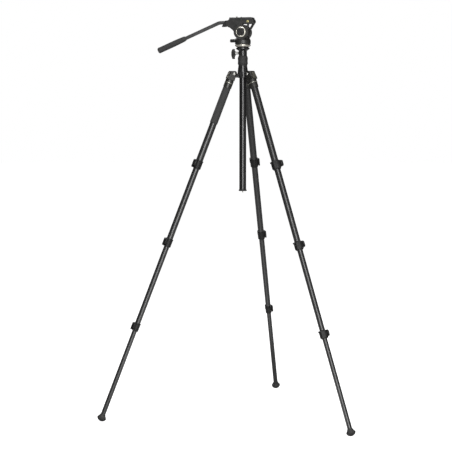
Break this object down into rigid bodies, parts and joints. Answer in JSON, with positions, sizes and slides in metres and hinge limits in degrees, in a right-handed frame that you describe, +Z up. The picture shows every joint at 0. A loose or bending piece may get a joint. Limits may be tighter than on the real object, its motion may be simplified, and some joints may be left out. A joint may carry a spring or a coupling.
{
  "type": "tripod with fluid head",
  "caption": "Standing video tripod with telescoping legs on flip locks, a sliding centre column, a levelling ball and a fluid head with a pan handle.",
  "frame": {"origin": "on the floor, on the axis of the centre column, legs spread and drawn out", "axes": "+Z up, +X the way the camera looks, so the pan handle points towards -X; the side leg stands towards +Y"},
  "size_m": [1.051, 0.9152, 1.6235],
  "materials": {
    "carbon_tube": "satin",
    "black_casting": "satin",
    "grey_casting": "satin",
    "moulded_black": "matte",
    "foot_rubber": "matte",
    "foam_grip": "matte",
    "bolt_steel": "polished",
    "ring_rubber": "matte",
    "column_black": "gloss",
    "hook_steel": "satin",
    "band_silver": "satin",
    "knob_black": "matte",
    "head_black": "satin",
    "dial_ring": "satin",
    "plate_black": "satin",
    "handle_grey": "matte"
  },
  "bodies": {
    "crown": {"spider_casting": "black_casting", "leg_pivot_bolts": "bolt_steel"},
    "column_lock": {"column_lock_ring": "ring_rubber"},
    "column": {"column_tube": "column_black", "column_hook": "hook_steel", "leveling_cup": "black_casting"},
    "level_pad": {"leveling_clamp_pad": "bolt_steel"},
    "level_ball": {"leveling_half_ball": "band_silver"},
    "level_knob": {"leveling_knob": "knob_black"},
    "pan": {"pan_housing": "head_black"},
    "pan_lock": {"pan_lock_knob": "knob_black"},
    "tilt": {"tilt_platform": "head_black", "tilt_shaft": "bolt_steel"},
    "drag_dial": {"drag_dial": "dial_ring"},
    "tilt_lock": {"tilt_lock_lever": "knob_black"},
    "plate": {"quick_release_plate": "plate_black"},
    "camera_screw": {"camera_screw": "bolt_steel"},
    "plate_lock": {"plate_lock_lever": "knob_black"},
    "handle": {"pan_handle": "handle_grey"},
    "handle_clamp": {"handle_clamp_lever": "knob_black"},
    "side_leg_upper": {"side_leg_hinge_casting": "black_casting", "side_leg_tube_1": "carbon_tube", "side_leg_collar_1": "moulded_black"},
    "side_leg_angle_lock": {"side_leg_angle_lock": "grey_casting"},
    "side_leg_lever_1": {"side_leg_lever_1": "moulded_black"},
    "side_leg_lever_2": {"side_leg_lever_2": "moulded_black"},
    "side_leg_lever_3": {"side_leg_lever_3": "moulded_black"},
    "side_leg_second": {"side_leg_tube_2": "carbon_tube", "side_leg_collar_2": "moulded_black"},
    "side_leg_third": {"side_leg_tube_3": "carbon_tube", "side_leg_collar_3": "moulded_black"},
    "side_leg_lowest": {"side_leg_tube_4": "carbon_tube", "side_leg_foot": "foot_rubber"},
    "back_leg_upper": {"back_leg_hinge_casting": "black_casting", "back_leg_tube_1": "carbon_tube", "back_leg_collar_1": "moulded_black", "back_leg_grip_sleeve": "foam_grip"},
    "back_leg_angle_lock": {"back_leg_angle_lock": "grey_casting"},
    "back_leg_lever_1": {"back_leg_lever_1": "moulded_black"},
    "back_leg_lever_2": {"back_leg_lever_2": "moulded_black"},
    "back_leg_lever_3": {"back_leg_lever_3": "moulded_black"},
    "back_leg_second": {"back_leg_tube_2": "carbon_tube", "back_leg_collar_2": "moulded_black"},
    "back_leg_third": {"back_leg_tube_3": "carbon_tube", "back_leg_collar_3": "moulded_black"},
    "back_leg_lowest": {"back_leg_tube_4": "carbon_tube", "back_leg_foot": "foot_rubber"},
    "front_leg_upper": {"front_leg_hinge_casting": "black_casting", "front_leg_tube_1": "carbon_tube", "front_leg_collar_1": "moulded_black"},
    "front_leg_angle_lock": {"front_leg_angle_lock": "grey_casting"},
    "front_leg_lever_1": {"front_leg_lever_1": "moulded_black"},
    "front_leg_lever_2": {"front_leg_lever_2": "moulded_black"},
    "front_leg_lever_3": {"front_leg_lever_3": "moulded_black"},
    "front_leg_second": {"front_leg_tube_2": "carbon_tube", "front_leg_collar_2": "moulded_black"},
    "front_leg_third": {"front_leg_tube_3": "carbon_tube", "front_leg_collar_3": "moulded_black"},
    "front_leg_lowest": {"front_leg_tube_4": "carbon_tube", "front_leg_foot": "foot_rubber"}
  },
  "joints": [
    {"name": "side_leg_fold", "type": "hinge", "parent": "crown", "child": "side_leg_upper", "pos_m": [0, 0.04, 1.391], "axis": [-1, 0, 0], "range_deg": [0, 21.4]},
    {"name": "side_leg_angle_release", "type": "slide", "parent": "side_leg_upper", "child": "side_leg_angle_lock", "axis": [0, 0.9306, 0.3659], "range_m": [0, 0.005], "stiffness_N_per_m": 400, "springref_m": -0.002},
    {"name": "side_leg_draw_2", "type": "slide", "parent": "side_leg_upper", "child": "side_leg_second", "axis": [0, -0.3659, 0.9306], "range_m": [0, 0.3005]},
    {"name": "side_leg_draw_3", "type": "slide", "parent": "side_leg_second", "child": "side_leg_third", "axis": [0, -0.3659, 0.9306], "range_m": [0, 0.3273]},
    {"name": "side_leg_draw_4", "type": "slide", "parent": "side_leg_third", "child": "side_leg_lowest", "axis": [0, -0.3659, 0.9306], "range_m": [0, 0.3565]},
    {"name": "side_leg_flip_1", "type": "hinge", "parent": "side_leg_upper", "child": "side_leg_lever_1", "pos_m": [-0.0169, 0.20228, 1.03327], "axis": [0, -0.3659, 0.9306], "range_deg": [0, 110]},
    {"name": "side_leg_flip_2", "type": "hinge", "parent": "side_leg_second", "child": "side_leg_lever_2", "pos_m": [-0.01482, 0.32367, 0.71905], "axis": [0, -0.3659, 0.9306], "range_deg": [0, 110]},
    {"name": "side_leg_flip_3", "type": "hinge", "parent": "side_leg_third", "child": "side_leg_lever_3", "pos_m": [-0.01374, 0.45537, 0.38126], "axis": [0, -0.3659, 0.9306], "range_deg": [0, 110]},
    {"name": "back_leg_fold", "type": "hinge", "parent": "crown", "child": "back_leg_upper", "pos_m": [-0.03464, -0.02, 1.391], "axis": [0.5, -0.866, 0], "range_deg": [0, 21.4]},
    {"name": "back_leg_angle_release", "type": "slide", "parent": "back_leg_upper", "child": "back_leg_angle_lock", "axis": [-0.806, -0.4653, 0.3659], "range_m": [0, 0.005], "stiffness_N_per_m": 400, "springref_m": -0.002},
    {"name": "back_leg_draw_2", "type": "slide", "parent": "back_leg_upper", "child": "back_leg_second", "axis": [0.3169, 0.183, 0.9306], "range_m": [0, 0.3005]},
    {"name": "back_leg_draw_3", "type": "slide", "parent": "back_leg_second", "child": "back_leg_third", "axis": [0.3169, 0.183, 0.9306], "range_m": [0, 0.3273]},
    {"name": "back_leg_draw_4", "type": "slide", "parent": "back_leg_third", "child": "back_leg_lowest", "axis": [0.3169, 0.183, 0.9306], "range_m": [0, 0.3565]},
    {"name": "back_leg_flip_1", "type": "hinge", "parent": "back_leg_upper", "child": "back_leg_lever_1", "pos_m": [-0.16673, -0.11578, 1.03327], "axis": [0.3169, 0.183, 0.9306], "range_deg": [0, 110]},
    {"name": "back_leg_flip_2", "type": "hinge", "parent": "back_leg_second", "child": "back_leg_lever_2", "pos_m": [-0.2729, -0.17467, 0.71905], "axis": [0.3169, 0.183, 0.9306], "range_deg": [0, 110]},
    {"name": "back_leg_flip_3", "type": "hinge", "parent": "back_leg_third", "child": "back_leg_lever_3", "pos_m": [-0.38749, -0.23959, 0.38126], "axis": [0.3169, 0.183, 0.9306], "range_deg": [0, 110]},
    {"name": "front_leg_fold", "type": "hinge", "parent": "crown", "child": "front_leg_upper", "pos_m": [0.03464, -0.02, 1.391], "axis": [0.5, 0.866, 0], "range_deg": [0, 21.4]},
    {"name": "front_leg_angle_release", "type": "slide", "parent": "front_leg_upper", "child": "front_leg_angle_lock", "axis": [0.806, -0.4653, 0.3659], "range_m": [0, 0.005], "stiffness_N_per_m": 400, "springref_m": -0.002},
    {"name": "front_leg_draw_2", "type": "slide", "parent": "front_leg_upper", "child": "front_leg_second", "axis": [-0.3169, 0.183, 0.9306], "range_m": [0, 0.3005]},
    {"name": "front_leg_draw_3", "type": "slide", "parent": "front_leg_second", "child": "front_leg_third", "axis": [-0.3169, 0.183, 0.9306], "range_m": [0, 0.3273]},
    {"name": "front_leg_draw_4", "type": "slide", "parent": "front_leg_third", "child": "front_leg_lowest", "axis": [-0.3169, 0.183, 0.9306], "range_m": [0, 0.3565]},
    {"name": "front_leg_flip_1", "type": "hinge", "parent": "front_leg_upper", "child": "front_leg_lever_1", "pos_m": [0.18364, -0.0865, 1.03327], "axis": [-0.3169, 0.183, 0.9306], "range_deg": [0, 110]},
    {"name": "front_leg_flip_2", "type": "hinge", "parent": "front_leg_second", "child": "front_leg_lever_2", "pos_m": [0.28772, -0.149, 0.71905], "axis": [-0.3169, 0.183, 0.9306], "range_deg": [0, 110]},
    {"name": "front_leg_flip_3", "type": "hinge", "parent": "front_leg_third", "child": "front_leg_lever_3", "pos_m": [0.40123, -0.21579, 0.38126], "axis": [-0.3169, 0.183, 0.9306], "range_deg": [0, 110]},
    {"name": "column_rise", "type": "slide", "parent": "crown", "child": "column", "axis": [0, 0, 1], "range_m": [0, 0.42]},
    {"name": "column_lock_turn", "type": "hinge", "parent": "crown", "child": "column_lock", "pos_m": [0, 0, 1.444], "axis": [0, 0, 1], "range_deg": [0, 90]},
    {"name": "level_pitch", "type": "hinge", "parent": "column", "child": "level_pad", "pos_m": [0, 0, 1.507], "axis": [0, 1, 0], "range_deg": [-7, 7]},
    {"name": "level_roll", "type": "hinge", "parent": "level_pad", "child": "level_ball", "pos_m": [0, 0, 1.507], "axis": [1, 0, 0], "range_deg": [-7, 7]},
    {"name": "level_knob_turn", "type": "hinge", "parent": "column", "child": "level_knob", "pos_m": [-0.03, 0, 1.4756], "axis": [-1, 0, 0], "range_deg": [0, 360]},
    {"name": "pan_turn", "type": "hinge", "parent": "level_ball", "child": "pan", "pos_m": [0, 0, 1.52], "axis": [0, 0, 1], "continuous": true},
    {"name": "pan_lock_turn", "type": "hinge", "parent": "pan", "child": "pan_lock", "pos_m": [-0.04, 0, 1.525], "axis": [-1, 0, 0], "range_deg": [0, 270]},
    {"name": "tilt_turn", "type": "hinge", "parent": "pan", "child": "tilt", "pos_m": [0, 0, 1.559], "axis": [0, 1, 0], "range_deg": [-50, 70]},
    {"name": "drag_dial_turn", "type": "hinge", "parent": "tilt", "child": "drag_dial", "pos_m": [0, -0.034, 1.559], "axis": [0, -1, 0], "range_deg": [0, 270]},
    {"name": "tilt_lock_swing", "type": "hinge", "parent": "tilt", "child": "tilt_lock", "pos_m": [0, 0.034, 1.559], "axis": [0, 1, 0], "range_deg": [-70, 0]},
    {"name": "plate_slide", "type": "slide", "parent": "tilt", "child": "plate", "axis": [1, 0, 0], "range_m": [-0.008, 0.02]},
    {"name": "camera_screw_turn", "type": "hinge", "parent": "plate", "child": "camera_screw", "pos_m": [-0.0249, 0, 1.617], "axis": [0, 0, 1], "continuous": true},
    {"name": "plate_lock_swing", "type": "hinge", "parent": "tilt", "child": "plate_lock", "pos_m": [0.01, 0.03, 1.601], "axis": [0, 1, 0], "range_deg": [0, 40]},
    {"name": "handle_swing", "type": "hinge", "parent": "tilt", "child": "handle", "pos_m": [-0.068, -0.0053, 1.598], "axis": [0, -1, 0], "range_deg": [-60, 30]},
    {"name": "handle_clamp_swing", "type": "hinge", "parent": "tilt", "child": "handle_clamp", "pos_m": [-0.068, -0.0155, 1.598], "axis": [0, 1, 0], "range_deg": [0, 70]}
  ]
}
